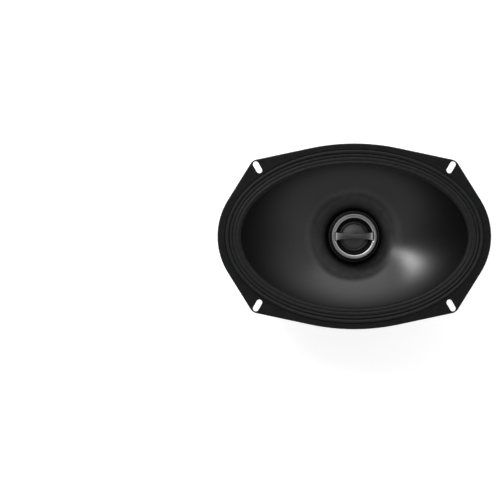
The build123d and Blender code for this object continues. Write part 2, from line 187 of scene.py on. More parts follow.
def turn(points, steps=160, closed=True, soften=0.0, rounds=3):
    """Spins a profile about Z. A closed one makes a ring; soften rounds its sharp edges."""
    mesh = bmesh.new()
    verts, edges = line_of(mesh, points)
    if closed:
        edges.append(mesh.edges.new((verts[-1], verts[0])))
    bmesh.ops.spin(mesh, geom=verts + edges, cent=(0, 0, 0), axis=(0, 0, 1), steps=steps,
                   angle=2 * math.pi, use_merge=True)
    bmesh.ops.remove_doubles(mesh, verts=mesh.verts, dist=1e-7)
    bmesh.ops.recalc_face_normals(mesh, faces=mesh.faces)
    if soften:
        sharp = [e for e in mesh.edges
                 if len(e.link_faces) == 2 and e.calc_face_angle() > math.radians(25)]
        bmesh.ops.bevel(mesh, geom=sharp, offset=soften, offset_type="OFFSET", segments=rounds,
                        profile=0.5, affect="EDGES", material=-1, clamp_overlap=True)
    return mesh


def piece_of(mesh, name, material, body=None, node=None, smooth_angle=40):
    """Finishes a mesh as a piece: material, shading, the body it rides and the node it replaces."""
    data = bpy.data.meshes.new(name)
    mesh.to_mesh(data)
    mesh.free()
    piece = bpy.data.objects.new(name, data)
    bpy.context.collection.objects.link(piece)
    data.materials.append(material)
    data.shade_smooth()
    data.set_sharp_from_angle(angle=math.radians(smooth_angle))
    if body:
        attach(piece, body)
    if node:
        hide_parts(node)
    return piece


def ferrite():
    material, tree, shader = surface("ferrite", (0.02, 0.02, 0.0215), 0.0, 0.6,
                                     Specular_IOR_Level=0.25)
    place = place_of(tree)
    tint(tree, noise(tree, place, 3 * MM, 6), (0.016, 0.016, 0.0172), (0.026, 0.026, 0.028),
         shader.inputs["Base Color"])
    spread(tree, noise(tree, place, 1.2 * MM, 4), 0.5, 0.7, shader.inputs["Roughness"])
    pits = relief(tree, noise(tree, place, 0.25 * MM, 4), 0.03 * MM)
    swell = relief(tree, noise(tree, place, 14 * MM, 1), 0.12 * MM, under=pits)
    tree.links.new(swell, shader.inputs["Normal"])
    return material


low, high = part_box("magnet")
magnet_radius, magnet_bore = high[0], 25 * MM
magnet_profile = [(magnet_bore, low[2]), (magnet_radius, low[2]), (magnet_radius, high[2]),
                  (magnet_bore, high[2])]
piece_of(turn(magnet_profile, soften=1.5 * MM, rounds=5), "ferrite_magnet", ferrite(), "frame",
         "magnet")

# ---------------------------------------------------------------- top plate
# A turned steel washer, zinc plated like the back plate. Its bore is the outer wall of the coil's
# gap, and the basket is riveted to its front face.
low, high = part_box("top_plate")
plate_radius, gap_radius = high[0], 16.45 * MM
plate_profile = [(gap_radius, low[2]), (plate_radius, low[2]), (plate_radius, high[2]),
                 (gap_radius, high[2])]
piece_of(turn(plate_profile, soften=0.8 * MM, rounds=4), "front_plate", zinc, "frame", "top_plate")

# ---------------------------------------------------------------- basket
# Deep-drawn sheet steel: flange with four slots, oval skirt, bowl with its windows, ledge and neck,
# all one pressing. Black powder paint, satin, with the paint's fine orange peel.


def black_paint():
    material, tree, shader = surface("black_paint", (0.009, 0.009, 0.0093), 0.0, 0.45,
                                     Specular_IOR_Level=0.17)
    place = place_of(tree)
    tint(tree, noise(tree, place, 6 * MM, 5), (0.0072, 0.0072, 0.0075), (0.012, 0.012, 0.0123),
         shader.inputs["Base Color"])
    spread(tree, noise(tree, place, 2 * MM, 4), 0.4, 0.52, shader.inputs["Roughness"])
    peel = relief(tree, noise(tree, place, 0.8 * MM, 2), 0.02 * MM, edge=0.35 * MM)
    tree.links.new(peel, shader.inputs["Normal"])
    return material


dress("basket", black_paint())
dress("basket_rivets", zinc)

# ---------------------------------------------------------------- spider
# A disc of woven cotton, stiffened with amber-brown resin and pressed into rings. Its landing is
# glued to the ledge and its inner collar to the coil's former, so in the speaker it flexes between
# the two; the mesh here is built at rest.


def resin_cloth():
    material, tree, shader = surface("resin_cloth", (0.5, 0.17, 0.04), 0.0, 0.65,
                                     Specular_IOR_Level=0.15)
    place = place_of(tree)
    tint(tree, noise(tree, place, 5 * MM, 4), (0.36, 0.11, 0.02), (0.64, 0.24, 0.055),
         shader.inputs["Base Color"])
    spread(tree, noise(tree, place, 2 * MM, 3), 0.5, 0.75, shader.inputs["Roughness"])
    warp = relief(tree, wave(tree, place, 0.45 * MM, "BANDS", "X"), 0.07 * MM)
    weft = relief(tree, wave(tree, place, 0.45 * MM, "BANDS", "Y"), 0.07 * MM, under=warp)
    tree.links.new(weft, shader.inputs["Normal"])
    return material


def bend_between(piece, weight):
    """Bakes the piece's placement into its mesh and works out weight(x, y, z), 0 to 1, at each vertex;
    the weights are not kept, so nothing bends.
    """
    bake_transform(piece)
    share = [weight(*v.co) for v in piece.data.vertices]


def ease(t):
    t = min(max(t, 0.0), 1.0)
    return t * t * (3 - 2 * t)


low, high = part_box("spider")
spider_edge = high[0]
cloth = 0.5 * MM
wave_start, wave_pitch, wave_count, wave_height = 18.5 * MM, 7.4 * MM, 4, 1.3 * MM
landing_start = wave_start + wave_pitch * wave_count
cloth_z = low[2] + wave_height
collar_radius = 15.15 * MM
profile = [(collar_radius, cloth_z + 2.1 * MM), (collar_radius + 0.1 * MM, cloth_z + 0.9 * MM),
           (collar_radius + 0.6 * MM, cloth_z + 0.15 * MM), (collar_radius + 1.6 * MM, cloth_z)]
steps_per_wave = 16
for k in range(wave_count * steps_per_wave + 1):
    along = k / steps_per_wave
    profile.append((wave_start + wave_pitch * along,
                    cloth_z - wave_height * math.sin(2 * math.pi * along)))
profile += [(landing_start + 0.8 * MM, cloth_z), (spider_edge - 2 * MM, cloth_z),
            (spider_edge, cloth_z)]
mesh = turn([(r, z + cloth / 2 + 0.02 * MM) for r, z in profile], steps=144, closed=False)
bmesh.ops.solidify(mesh, geom=mesh.faces[:], thickness=cloth * 0.92)
bmesh.ops.recalc_face_normals(mesh, faces=mesh.faces)
spider = piece_of(mesh, "pressed_spider", resin_cloth(), node="spider")
bend_between(spider,
             lambda x, y, z: 1 - ease((math.hypot(x, y) - wave_start) / (landing_start - wave_start)))

# ---------------------------------------------------------------- voice coil
# A tube of black glass-fibre film with copper wire wound on its lower end in one tight layer, held
# by clear varnish. It hangs in the motor's gap and carries the cone and the spider.


def black_film():
    material, tree, shader = surface("former_film", (0.012, 0.012, 0.012), 0.0, 0.4,
                                     Specular_IOR_Level=0.3)
    place = place_of(tree, stretch=(1, 1, 4))
    tint(tree, noise(tree, place, 3 * MM, 4), (0.009, 0.009, 0.009), (0.018, 0.018, 0.017),
         shader.inputs["Base Color"])
    spread(tree, noise(tree, place, 4 * MM, 4), 0.34, 0.5, shader.inputs["Roughness"])
    tree.links.new(relief(tree, noise(tree, place, 1.5 * MM, 2), 0.01 * MM), shader.inputs["Normal"])
    return material


def enamelled_copper(name="enamelled_copper"):
    material, tree, shader = surface(name, (0.72, 0.3, 0.13), 1.0, 0.25, Coat_Weight=0.6)
    place = place_of(tree)
    tint(tree, noise(tree, place, 3 * MM, 4), (0.6, 0.22, 0.09), (0.8, 0.36, 0.17),
         shader.inputs["Base Color"])
    spread(tree, noise(tree, place, 0.5 * MM, 2), 0.2, 0.34, shader.inputs["Roughness"])
    return material


def wound_tube(node, inner, outer, turns, steps=128):
    """A tube whose outside is a layer of round wire."""
    low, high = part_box(node)
    pitch = (high[2] - low[2]) / turns
    wire = pitch / 2
    points = [(inner, high[2]), (inner, low[2])]
    for k in range(turns):
        for step in range(5):
            angle = math.radians(-90 + 45 * step)
            points.append((outer - wire + wire * math.cos(angle),
                           low[2] + pitch * (k + 0.5) + wire * math.sin(angle)))
    return turn(points, steps=steps)


low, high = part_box("coil_former")
former_radius, former_top, film = high[0], high[2], 0.3 * MM
former_profile = [(former_radius - film, low[2]), (former_radius, low[2]),
                  (former_radius, former_top), (former_radius - film, former_top)]
piece_of(turn(former_profile, steps=128), "former_tube", black_film(), "woofer", "coil_former")
winding_radius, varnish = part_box("voice_coil")[1][0], 0.02 * MM
piece_of(wound_tube("voice_coil", former_radius + varnish, winding_radius, 30), "copper_winding",
         enamelled_copper(), "woofer", "voice_coil")

# ---------------------------------------------------------------- cone
# One injection-moulded shell of black polypropylene, round at the neck and oval at the edge, with a
# curved flare. The front is smooth with a soft sheen; the neck is glued to the coil's former.


def cone_plastic():
    """Near-black, with a painted reflection: a grey ring painted on the bowl just outside the tweeter,
    in place of lamp light reflected there.
    """
    material, tree, shader = surface("cone_plastic", (0.004, 0.004, 0.0042), 0.0, 0.24)
    place = place_of(tree)
    spread(tree, noise(tree, place, 1.5 * MM, 4), 0.22, 0.27, shader.inputs["Roughness"])
    grain = relief(tree, noise(tree, place, 0.35 * MM, 2), 0.004 * MM)
    flow = relief(tree, noise(tree, place, 25 * MM, 1), 0.06 * MM, under=grain)
    tree.links.new(flow, shader.inputs["Normal"])
    # Painted reflection: a grey ring in the base colour, set by distance from the axis, brightest just
    # outside the tweeter.
    radius = tree.nodes.new("ShaderNodeVectorMath")
    radius.operation = "LENGTH"
    tree.links.new(place_of(tree, stretch=(10, 10, 0)), radius.inputs[0])
    painted_reflection_ring = tree.nodes.new("ShaderNodeValToRGB")
    stops = [(0.24, 0.002), (0.285, 0.05), (0.335, 0.06), (0.37, 0.03), (0.44, 0.002)]
    for k, (position, grey) in enumerate(stops):
        spot = painted_reflection_ring.color_ramp.elements[k] if k < 2 else painted_reflection_ring.color_ramp.elements.new(position)
        spot.position = position
        spot.color = (grey, grey, grey * 1.03, 1)
    tree.links.new(radius.outputs["Value"], painted_reflection_ring.inputs["Fac"])
    # Soft random tone mottles the painted reflection.
    mottled_reflection = tree.nodes.new("ShaderNodeMix")
    mottled_reflection.data_type = "RGBA"
    mottled_reflection.blend_type = "MULTIPLY"
    mottled_reflection.inputs["Factor"].default_value = 1
    tree.links.new(painted_reflection_ring.outputs["Color"], mottled_reflection.inputs["A"])
    tint(tree, noise(tree, place, 6 * MM, 4), (0.75, 0.75, 0.75), (1, 1, 1), mottled_reflection.inputs["B"])
    tree.links.new(mottled_reflection.outputs["Result"], shader.inputs["Base Color"])
    return material


ring_a, ring_b = 108 * MM, 71.5 * MM     # the oval that the surround and the cone's edge follow
cone_low, cone_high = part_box("cone")
shell = 0.9 * MM
neck_radius = 15.95 * MM
edge_inset = 9.6 * MM
neck_z, edge_z = cone_low[2], cone_high[2] - 0.5 * MM


def round_the_oval(mesh):
    """Carries a ring spun about Z, its radius counted from ring_a, on to the oval line."""
    for vert in mesh.verts:
        angle = math.atan2(vert.co.y, vert.co.x)
        offset = math.hypot(vert.co.x, vert.co.y) - ring_a
        out = Vector((math.cos(angle) / ring_a, math.sin(angle) / ring_b)).normalized()
        vert.co.x = ring_a * math.cos(angle) + out.x * offset
        vert.co.y = ring_b * math.sin(angle) + out.y * offset


def into_sheet(mesh, thickness):
    """Faces an open skin forward and gives it thickness towards the back."""
    bmesh.ops.recalc_face_normals(mesh, faces=mesh.faces)
    if sum(f.normal.z for f in mesh.faces) < 0:
        bmesh.ops.reverse_faces(mesh, faces=mesh.faces)
    bmesh.ops.solidify(mesh, geom=mesh.faces[:], thickness=thickness)
    bmesh.ops.recalc_face_normals(mesh, faces=mesh.faces)


# A flat ring from radius 1 to 2, then each vertex moved: round neck, oval edge, curved between.
rings, oval_steps = 40, 224
mesh = turn([(1 + k / rings, 0) for k in range(rings + 1)], steps=oval_steps, closed=False)
for vert in mesh.verts:
    angle, along = math.atan2(vert.co.y, vert.co.x), math.hypot(vert.co.x, vert.co.y) - 1
    flare = 1.5 * along - 0.5 * along * along
    vert.co = (
        (neck_radius + (ring_a - edge_inset - neck_radius) * along) * math.cos(angle),
        (neck_radius + (ring_b - edge_inset - neck_radius) * along) * math.sin(angle),
        neck_z + (edge_z - neck_z) * flare + shell,
    )
into_sheet(mesh, shell)
black_poly = cone_plastic()
piece_of(mesh, "moulded_cone", black_poly, "woofer", "cone", smooth_angle=60)

# Flat rim that the surround's lip is glued to, moulded with the cone.
rim_inner, rim_outer = ring_a - 10.3 * MM, ring_a - 8.8 * MM
rim_top, rim_bottom = cone_high[2], cone_high[2] - 0.8 * MM
rim_profile = [(rim_inner, rim_bottom), (rim_outer, rim_bottom), (rim_outer, rim_top),
               (rim_inner, rim_top)]
mesh = turn(rim_profile, steps=oval_steps, soften=0.2 * MM, rounds=2)
round_the_oval(mesh)
piece_of(mesh, "cone_rim", black_poly, "woofer")

# ---------------------------------------------------------------- glue at the cone and the spider
# Black rubber cement, run on by machine: a fillet where the cone's neck meets the former and a bead
# where the spider's edge meets the ledge.


def cement():
    material, tree, shader = surface("rubber_cement", (0.012, 0.012, 0.012), 0.0, 0.3)
    place = place_of(tree)
    tint(tree, noise(tree, place, 2 * MM, 3), (0.009, 0.008, 0.008), (0.02, 0.019, 0.018),
         shader.inputs["Base Color"])
    spread(tree, noise(tree, place, 1 * MM, 3), 0.22, 0.42, shader.inputs["Roughness"])
    tree.links.new(relief(tree, noise(tree, place, 2.5 * MM, 2), 0.3 * MM), shader.inputs["Normal"])
    return material


black_cement = cement()
fillet_radius = former_radius + 0.01 * MM
fillet = [(fillet_radius, former_top - 1.4 * MM), (16.5 * MM, former_top - 1.4 * MM),
          (16.45 * MM, former_top - 0.6 * MM), (15.95 * MM, former_top - 0.42 * MM),
          (15.45 * MM, former_top - 0.1 * MM), (fillet_radius, former_top)]
piece_of(turn(fillet, steps=128), "neck_fillet", black_cement, "woofer")
ledge_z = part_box("spider")[0][2] + 1.25 * MM
bead = [(52.7, 0.0), (54.0, 0.0), (54.05, 0.3), (53.7, 0.7), (53.1, 0.85), (52.7, 0.65)]
mesh = turn([(r * MM, ledge_z + z * MM) for r, z in bead])
piece_of(mesh, "ledge_bead", black_cement, "frame", smooth_angle=70)

# ---------------------------------------------------------------- surround
# Moulded butyl rubber: a flat landing glued in the flange's step, two narrow rolls, a wider roll
# and a lip glued to the cone's rim. In the speaker it bends between the basket and the cone; the mesh
# here is built at rest.


def black_rubber():
    material, tree, shader = surface("black_rubber", (0.01, 0.01, 0.01), 0.0, 0.55,
                                     Specular_IOR_Level=0.25)
    place = place_of(tree)
    tint(tree, noise(tree, place, 4 * MM, 5), (0.008, 0.008, 0.008), (0.014, 0.014, 0.014),
         shader.inputs["Base Color"])
    spread(tree, noise(tree, place, 1.5 * MM, 4), 0.48, 0.64, shader.inputs["Roughness"])
    skin = relief(tree, noise(tree, place, 0.3 * MM, 3), 0.012 * MM)
    tree.links.new(skin, shader.inputs["Normal"])
    return material


def arc(start, middle, end, steps=10):
    """Points on the circle through three (offset, height) points, without the first."""
    (ax, ay), (bx, by), (cx, cy) = start, middle, end
    d = 2 * (ax * (by - cy) + bx * (cy - ay) + cx * (ay - by))
    a, b, c = ax**2 + ay**2, bx**2 + by**2, cx**2 + cy**2
    ux = (a * (by - cy) + b * (cy - ay) + c * (ay - by)) / d
    uy = (a * (cx - bx) + b * (ax - cx) + c * (bx - ax)) / d
    radius = math.hypot(ax - ux, ay - uy)
    first, last = math.atan2(ay - uy, ax - ux), math.atan2(cy - uy, cx - ux)
    through = math.atan2(by - uy, bx - ux)
    if not min(first, last) <= through <= max(first, last):
        last += 2 * math.pi if last < first else -2 * math.pi
    turns = [first + (last - first) * k / steps for k in range(1, steps + 1)]
    return [(ux + radius * math.cos(t), uy + radius * math.sin(t)) for t in turns]


seat_z = 77.9 * MM
rubber = 0.5 * MM
rolls = [((-0.2, 0.0), (-1.4, 1.2), (-2.8, 0.1)), ((-2.8, 0.1), (-4.3, 1.1), (-6.1, 0.45)),
         ((-6.1, 0.45), (-7.9, 1.0), (-9.3, -0.5))]
line = [(3.2, 0.0), (1.5, 0.0), (-0.2, 0.0)]
for roll in rolls:
    line += arc(*roll)
line += [(-9.7, -0.5), (-10.1, -0.5)]
mesh = turn([(ring_a + o * MM, seat_z + z * MM + rubber) for o, z in line], steps=256, closed=False)
into_sheet(mesh, rubber * 0.9)
round_the_oval(mesh)
surround = piece_of(mesh, "rubber_surround", black_rubber(), node="surround", smooth_angle=60)


def share_of_surround(x, y, z):
    """0 at the landing, 1 at the lip, across the rolls."""
    angle = math.atan2(y / ring_b, x / ring_a)
    out = Vector((math.cos(angle) / ring_a, math.sin(angle) / ring_b)).normalized()
    offset = (x - ring_a * math.cos(angle)) * out.x + (y - ring_b * math.sin(angle)) * out.y
    roll_start, roll_width = 0.2 * MM, 9.0 * MM
    return ease((-offset - roll_start) / roll_width)


bend_between(surround, share_of_surround)

# ---------------------------------------------------------------- gasket ring
# A ring of firm black rubber with a rounded top, glued over the surround's landing in the step of
# the flange. It is the foremost part and seals against a panel or a grille.
low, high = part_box("gasket_ring")
line = [(0.35, 0.0), (3.2, 0.0), (3.2, 0.8), *arc((3.2, 0.8), (1.77, 1.55), (0.35, 0.8), 14)]
mesh = turn([(ring_a + o * MM, low[2] + z * MM) for o, z in line], steps=256)
round_the_oval(mesh)
piece_of(mesh, "front_gasket", black_rubber(), "frame", "gasket_ring", smooth_angle=50)

# ---------------------------------------------------------------- tweeter post
# A turned aluminium tube, its spigot pressed into the pole. It stands up through the cone's neck and
# holds the tweeter by a thread, a lock washer and a thin nut.


def turned_aluminium():
    material, tree, shader = surface("turned_aluminium", (0.6, 0.6, 0.62), 1.0, 0.35)
    place = place_of(tree)
    marks = relief(tree, wave(tree, place, 0.25 * MM, "BANDS", "Z", 0.5), 0.004 * MM, edge=0.2 * MM)
    spread(tree, noise(tree, place, 2 * MM, 3), 0.28, 0.42, shader.inputs["Roughness"])
    tree.links.new(marks, shader.inputs["Normal"])
    return material


dress("tweeter_post", turned_aluminium())
dress("lock_washer", zinc)
dress("tweeter_nut", zinc)

# ---------------------------------------------------------------- tweeter housing
# Moulded black plastic: a pot round the tweeter's motor, a thin base flange and a wall that carries
# the metal ring. Fine spark-eroded texture.


def housing_plastic(name, base, rough, gloss=0.5):
    material, tree, shader = surface(name, (base,) * 3, 0.0, rough, Specular_IOR_Level=gloss)
    place = place_of(tree)
    spread(tree, noise(tree, place, 1.2 * MM, 4), rough - 0.06, rough + 0.1,
           shader.inputs["Roughness"])
    tint(tree, noise(tree, place, 5 * MM, 3), (base * 0.8,) * 3, (base * 1.25,) * 3,
         shader.inputs["Base Color"])
    tree.links.new(relief(tree, noise(tree, place, 0.22 * MM, 2), 0.012 * MM, edge=0.2 * MM),
                   shader.inputs["Normal"])
    return material


dress("tweeter_housing", housing_plastic("housing_plastic", 0.008, 0.34))

# ---------------------------------------------------------------- tweeter motor
# Pressed steel cup, nickel-plated disc magnet and a steel pole plate, stacked in the housing.
dress("tweeter_cup", zinc)
dress("tweeter_pole_plate", zinc)


def nickel():
    material, tree, shader = surface("nickel", (0.72, 0.7, 0.66), 1.0, 0.16)
    place = place_of(tree)
    spread(tree, noise(tree, place, 2 * MM, 3), 0.12, 0.24, shader.inputs["Roughness"])
    return material


dress("tweeter_magnet", nickel())

# ---------------------------------------------------------------- tweeter dome
# A fine woven dome, coated dark, with a half roll of the same cloth clamped at its edge and a
# small copper-clad coil on its skirt. The roll's copy of the cloth is darker, as painted shade in
# the recess.


def dome_cloth(name, base):
    material, tree, shader = surface(name, (base,) * 3, 0.0, 0.42, Sheen_Weight=0.08,
                                     Sheen_Roughness=0.4)
    place = place_of(tree)
    tint(tree, noise(tree, place, 2 * MM, 3), (base * 0.75,) * 3, (base * 1.3,) * 3,
         shader.inputs["Base Color"])
    spread(tree, noise(tree, place, 0.8 * MM, 3), 0.36, 0.5, shader.inputs["Roughness"])
    warp = relief(tree, wave(tree, place, 0.2 * MM, "BANDS", "X"), 0.012 * MM)
    weft = relief(tree, wave(tree, place, 0.2 * MM, "BANDS", "Y"), 0.012 * MM, under=warp)
    tree.links.new(weft, shader.inputs["Normal"])
    return material


low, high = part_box("tweeter_dome")
dome_radius, dome_rise, cloth = high[0], high[2] - low[2], 0.3 * MM
dome_start, dome_steps = (dome_radius, low[2]), 20
dome_middle = (dome_radius * 0.5187, low[2] + dome_rise * 0.745)
outer_line = [dome_start, *arc(dome_start, dome_middle, (0.0, high[2]), dome_steps)]
inner_line = [(r * (1 - cloth / dome_radius), z - cloth * (0.2 + 0.8 * k / dome_steps))
              for k, (r, z) in enumerate(outer_line)]
inner_line[0] = (dome_radius - cloth, low[2])
inner_line[-1] = (0.0, high[2] - cloth)
outer_line[-1] = (0.0, high[2])
mesh = turn(outer_line + inner_line[::-1], steps=96)
bmesh.ops.delete(mesh, geom=[e for e in mesh.edges if not e.link_faces], context="EDGES")
bmesh.ops.recalc_face_normals(mesh, faces=mesh.faces)
piece_of(mesh, "cloth_dome", dome_cloth("dome_cloth", 0.018), "tweeter_moving", "tweeter_dome",
         smooth_angle=60)

roll_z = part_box("tweeter_surround")[0][2]
roll_inner, roll_outer, roll_cloth = 10.9, 12.9, 0.25
line = [(15.8, 0.0), (14.4, 0.0), (roll_outer, 0.0),
        *arc((roll_outer, 0.0), (11.9, 0.93), (roll_inner, 0.25), 12)]
mesh = turn([(r * MM, roll_z + (z + roll_cloth + 0.03) * MM) for r, z in line], steps=96,
            closed=False)
into_sheet(mesh, roll_cloth * MM)
# Painted shade: the roll's cloth gets base 0.003 against the dome's 0.018, for the shade in the recess
# under the ring.
roll = piece_of(mesh, "dome_half_roll", dome_cloth("roll_cloth", 0.003), node="tweeter_surround",
                smooth_angle=60)
bend_between(roll,
             lambda x, y, z: 1 - ease((math.hypot(x, y) / MM - roll_inner) / (roll_outer - roll_inner)))
coil_inner, coil_outer = 10.3 * MM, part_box("tweeter_coil")[1][0]
piece_of(wound_tube("tweeter_coil", coil_inner, coil_outer, 18, 96), "tweeter_winding",
         enamelled_copper("clad_copper"), "tweeter_moving", "tweeter_coil")

# ---------------------------------------------------------------- tweeter faceplate
# A black moulded ring that clamps the half roll and leads the eye down to the dome: a narrow flat
# rim and a bevel that falls inwards. Its black plastic is made darker than the housing's, as painted
# shade in the recess.
low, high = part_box("tweeter_faceplate")
faceplate_radius, bevel_foot = high[0], 13.1 * MM
profile = [(bevel_foot, low[2]), (faceplate_radius, low[2]),
           (faceplate_radius, high[2] - 0.25 * MM), (16.2 * MM, high[2]), (15.2 * MM, high[2]),
           (bevel_foot, low[2] + 1.05 * MM)]
# Black plastic, partly painted shade: a darker copy of the housing plastic, base 0.002 against 0.008,
# for the recess under the ring.
piece_of(turn(profile, steps=128, soften=0.12 * MM), "dome_faceplate",
         housing_plastic("recess_plastic", 0.002, 0.5, 0.06), "frame", "tweeter_faceplate")

# ---------------------------------------------------------------- tweeter ring
# Spun aluminium ring, satin polished round its length, set on the housing's wall. Its face
# slopes a little inwards, and two notches in its inner edge take the ends of the strap.


def satin_metal(name, stretch, colour, rough):
    """Polished then brushed: fine streaks along one way."""
    material, tree, shader = surface(name, (colour, colour, colour * 1.02), 1.0, rough)
    place = place_of(tree, stretch)
    tint(tree, noise(tree, place, 1.2 * MM, 5), (colour * 0.92,) * 3, (colour * 1.04,) * 3,
         shader.inputs["Base Color"])
    spread(tree, noise(tree, place, 1.6 * MM, 3), rough - 0.04, rough + 0.05,
           shader.inputs["Roughness"])
    tree.links.new(relief(tree, noise(tree, place, 0.7 * MM, 2), 0.0015 * MM),
                   shader.inputs["Normal"])
    return material


low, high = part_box("tweeter_ring")
ring_outer, ring_inner, ring_step = high[0], 16.2 * MM, 16.85 * MM
face = [(19.04, 0.07), (18.9, 0.0), (18.5, 0.02), (17.6, 0.13), (16.7, 0.26), (16.35, 0.38)]
seat = low[2] + 0.4 * MM
profile = [(ring_step, seat), (ring_outer, seat), (ring_outer, high[2] - 0.22 * MM),
           *[(r * MM, high[2] - drop * MM) for r, drop in face],
           (ring_inner, high[2] - 0.7 * MM), (ring_inner, low[2]), (ring_step, low[2])]
mesh = turn(profile, steps=240)
notch_half, notch_back = 3.95 * MM, 17.0 * MM
for vert in mesh.verts:
    if abs(vert.co.y) < notch_half and abs(vert.co.x) < notch_back:
        vert.co.x = math.copysign(notch_back, vert.co.x)
bmesh.ops.remove_doubles(mesh, verts=mesh.verts, dist=1e-6)
piece_of(mesh, "bright_ring", satin_metal("spun_ring", (1, 1, 1), 0.64, 0.36), "frame",
         "tweeter_ring", smooth_angle=50)

# ---------------------------------------------------------------- tweeter strap
# A strip of brushed aluminium over the dome: a shallow arch, waisted in the middle and slightly
# crowned across, its ends bent down through the ring's notches on to the faceplate.
low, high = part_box("tweeter_strap")
strap_half, strap_top, strap_foot = high[0], high[2], low[2]
half_end, half_waist, metal = high[1], 1.8 * MM, 0.6 * MM
strap_sag, strap_crown = 1.5 * MM, 0.12 * MM
half_line = [(x * MM, strap_top - strap_sag * (x * MM / strap_half) ** 4) for x in range(0, 15)]
half_line += [(15.2 * MM, strap_top - 1.12 * MM), (15.75 * MM, strap_top - 1.34 * MM),
              (16.1 * MM, strap_top - 1.58 * MM), (strap_half, strap_top - 1.75 * MM),
              (strap_half, strap_foot)]
strap_line = [(-x, z) for x, z in half_line[:0:-1]] + half_line
stations = len(strap_line) - 1
mesh = bmesh.new()
bmesh.ops.create_grid(mesh, x_segments=stations, y_segments=10, size=1)
for vert in mesh.verts:
    x, z = strap_line[round((vert.co.x + 1) / 2 * stations)]
    along, across = abs(x) / strap_half, vert.co.y
    width = half_waist + (half_end - half_waist) * along * along
    vert.co = (x, across * width, z - strap_crown * (1 - along**6) * across * across)
bmesh.ops.solidify(mesh, geom=mesh.faces[:], thickness=metal)
bmesh.ops.recalc_face_normals(mesh, faces=mesh.faces)
piece_of(mesh, "dome_strap", satin_metal("brushed_strip", (0.06, 1, 1), 0.54, 0.28), "frame",
         "tweeter_strap", smooth_angle=40)

# ---------------------------------------------------------------- terminals
# A moulded black block on the spoke's tongue, held by a hollow rivet. Two tinned brass blades stand
# through it: the narrow negative one and the wide positive one, each with an eye for solder.


def tinned_brass():
    material, tree, shader = surface("tinned_brass", (0.46, 0.45, 0.43), 1.0, 0.28)
    place = place_of(tree)
    tint(tree, noise(tree, place, 1.5 * MM, 4), (0.36, 0.35, 0.33), (0.56, 0.55, 0.53),
         shader.inputs["Base Color"])
    spread(tree, noise(tree, place, 0.7 * MM, 3), 0.2, 0.38, shader.inputs["Roughness"])
    return material


dress("terminal_board", housing_plastic("terminal_plastic", 0.012, 0.4))
tin = tinned_brass()
for node in ("terminal_tab_narrow", "terminal_tab_wide", "terminal_rivet"):
    dress(node, tin)

# ---------------------------------------------------------------- flexible leads
# Two braids of fine tinsel wire from the terminals' lugs, up through the slot in the spoke and over
# to the underside of the cone, with slack for the cone's travel.


def tinsel_braid():
    material, tree, shader = surface("tinsel_braid", (0.62, 0.36, 0.2), 1.0, 0.4)
    place = place_of(tree)
    tint(tree, noise(tree, place, 0.5 * MM, 2), (0.4, 0.21, 0.1), (0.75, 0.45, 0.26),
         shader.inputs["Base Color"])
    across = relief(tree, wave(tree, place, 0.35 * MM, "BANDS", "DIAGONAL"), 0.08 * MM)
    tree.links.new(across, shader.inputs["Normal"])
    return material


def wire_along(points, radius, round_faces=10):
    """A tube along a smooth curve through a route's corners, as a mesh."""
    curve = bpy.data.curves.new("route", "CURVE")
    curve.dimensions = "3D"
    spline = curve.splines.new("NURBS")
    spline.points.add(len(points) - 1)
    for point, place in zip(spline.points, points):
        point.co = (*place, 1)
    spline.order_u = 3
    spline.use_endpoint_u = True
    curve.resolution_u = 14
    curve.bevel_depth = radius
    curve.bevel_resolution = round_faces // 2 - 1
    curve.use_fill_caps = True
    rope = bpy.data.objects.new("route", curve)
    bpy.context.collection.objects.link(rope)
    settled = rope.evaluated_get(bpy.context.evaluated_depsgraph_get())
    data = bpy.data.meshes.new_from_object(settled)
    bpy.data.objects.remove(rope)
    bpy.data.curves.remove(curve)
    mesh = bmesh.new()
    mesh.from_mesh(data)
    bpy.data.meshes.remove(data)
    bmesh.ops.remove_doubles(mesh, verts=mesh.verts, dist=1e-7)
    bmesh.ops.recalc_face_normals(mesh, faces=mesh.faces)
    return mesh


def joined(meshes):
    """Several bmeshes in one."""
    whole = bmesh.new()
    for part in meshes:
        data = bpy.data.meshes.new("part")
        part.to_mesh(data)
        part.free()
        whole.from_mesh(data)
        bpy.data.meshes.remove(data)
    return whole


narrow_low, narrow_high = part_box("terminal_tab_narrow")
wide_low, wide_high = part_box("terminal_tab_wide")
lugs = [((narrow_low[0] + narrow_high[0]) / 2, (narrow_low[1] + narrow_high[1]) / 2),
        ((wide_low[0] + wide_high[0]) / 2, (wide_low[1] + wide_high[1]) / 2 + 1.6 * MM)]
lug_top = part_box("tinsel_leads")[0][2]
flex_start, flex_end = -57 * MM, -38 * MM
ropes = []
for x, y in lugs:
    route = [(x, y, lug_top), (x, y, 47.5 * MM), (x + 1.5 * MM, y, 50.4 * MM),
             (flex_start, y, 50.0 * MM), (-48 * MM, y, 49.0 * MM), (-36 * MM, y, 56.6 * MM)]
    ropes.append(wire_along(route, 0.7 * MM))
braid = piece_of(joined(ropes), "tinsel_braids", tinsel_braid(), node="tinsel_leads")
bend_between(braid, lambda x, y, z: ease((x - flex_start) / (flex_end - flex_start)))


def dab(spots, size, name, material, body):
    """Small flattened drops, one at each spot."""
    drops = []
    for spot in spots:
        drop = bmesh.new()
        bmesh.ops.create_uvsphere(drop, u_segments=24, v_segments=12, radius=1)
        bmesh.ops.scale(drop, verts=drop.verts, vec=size)
        bmesh.ops.translate(drop, verts=drop.verts, vec=spot)
        drops.append(drop)
    piece_of(joined(drops), name, material, body)


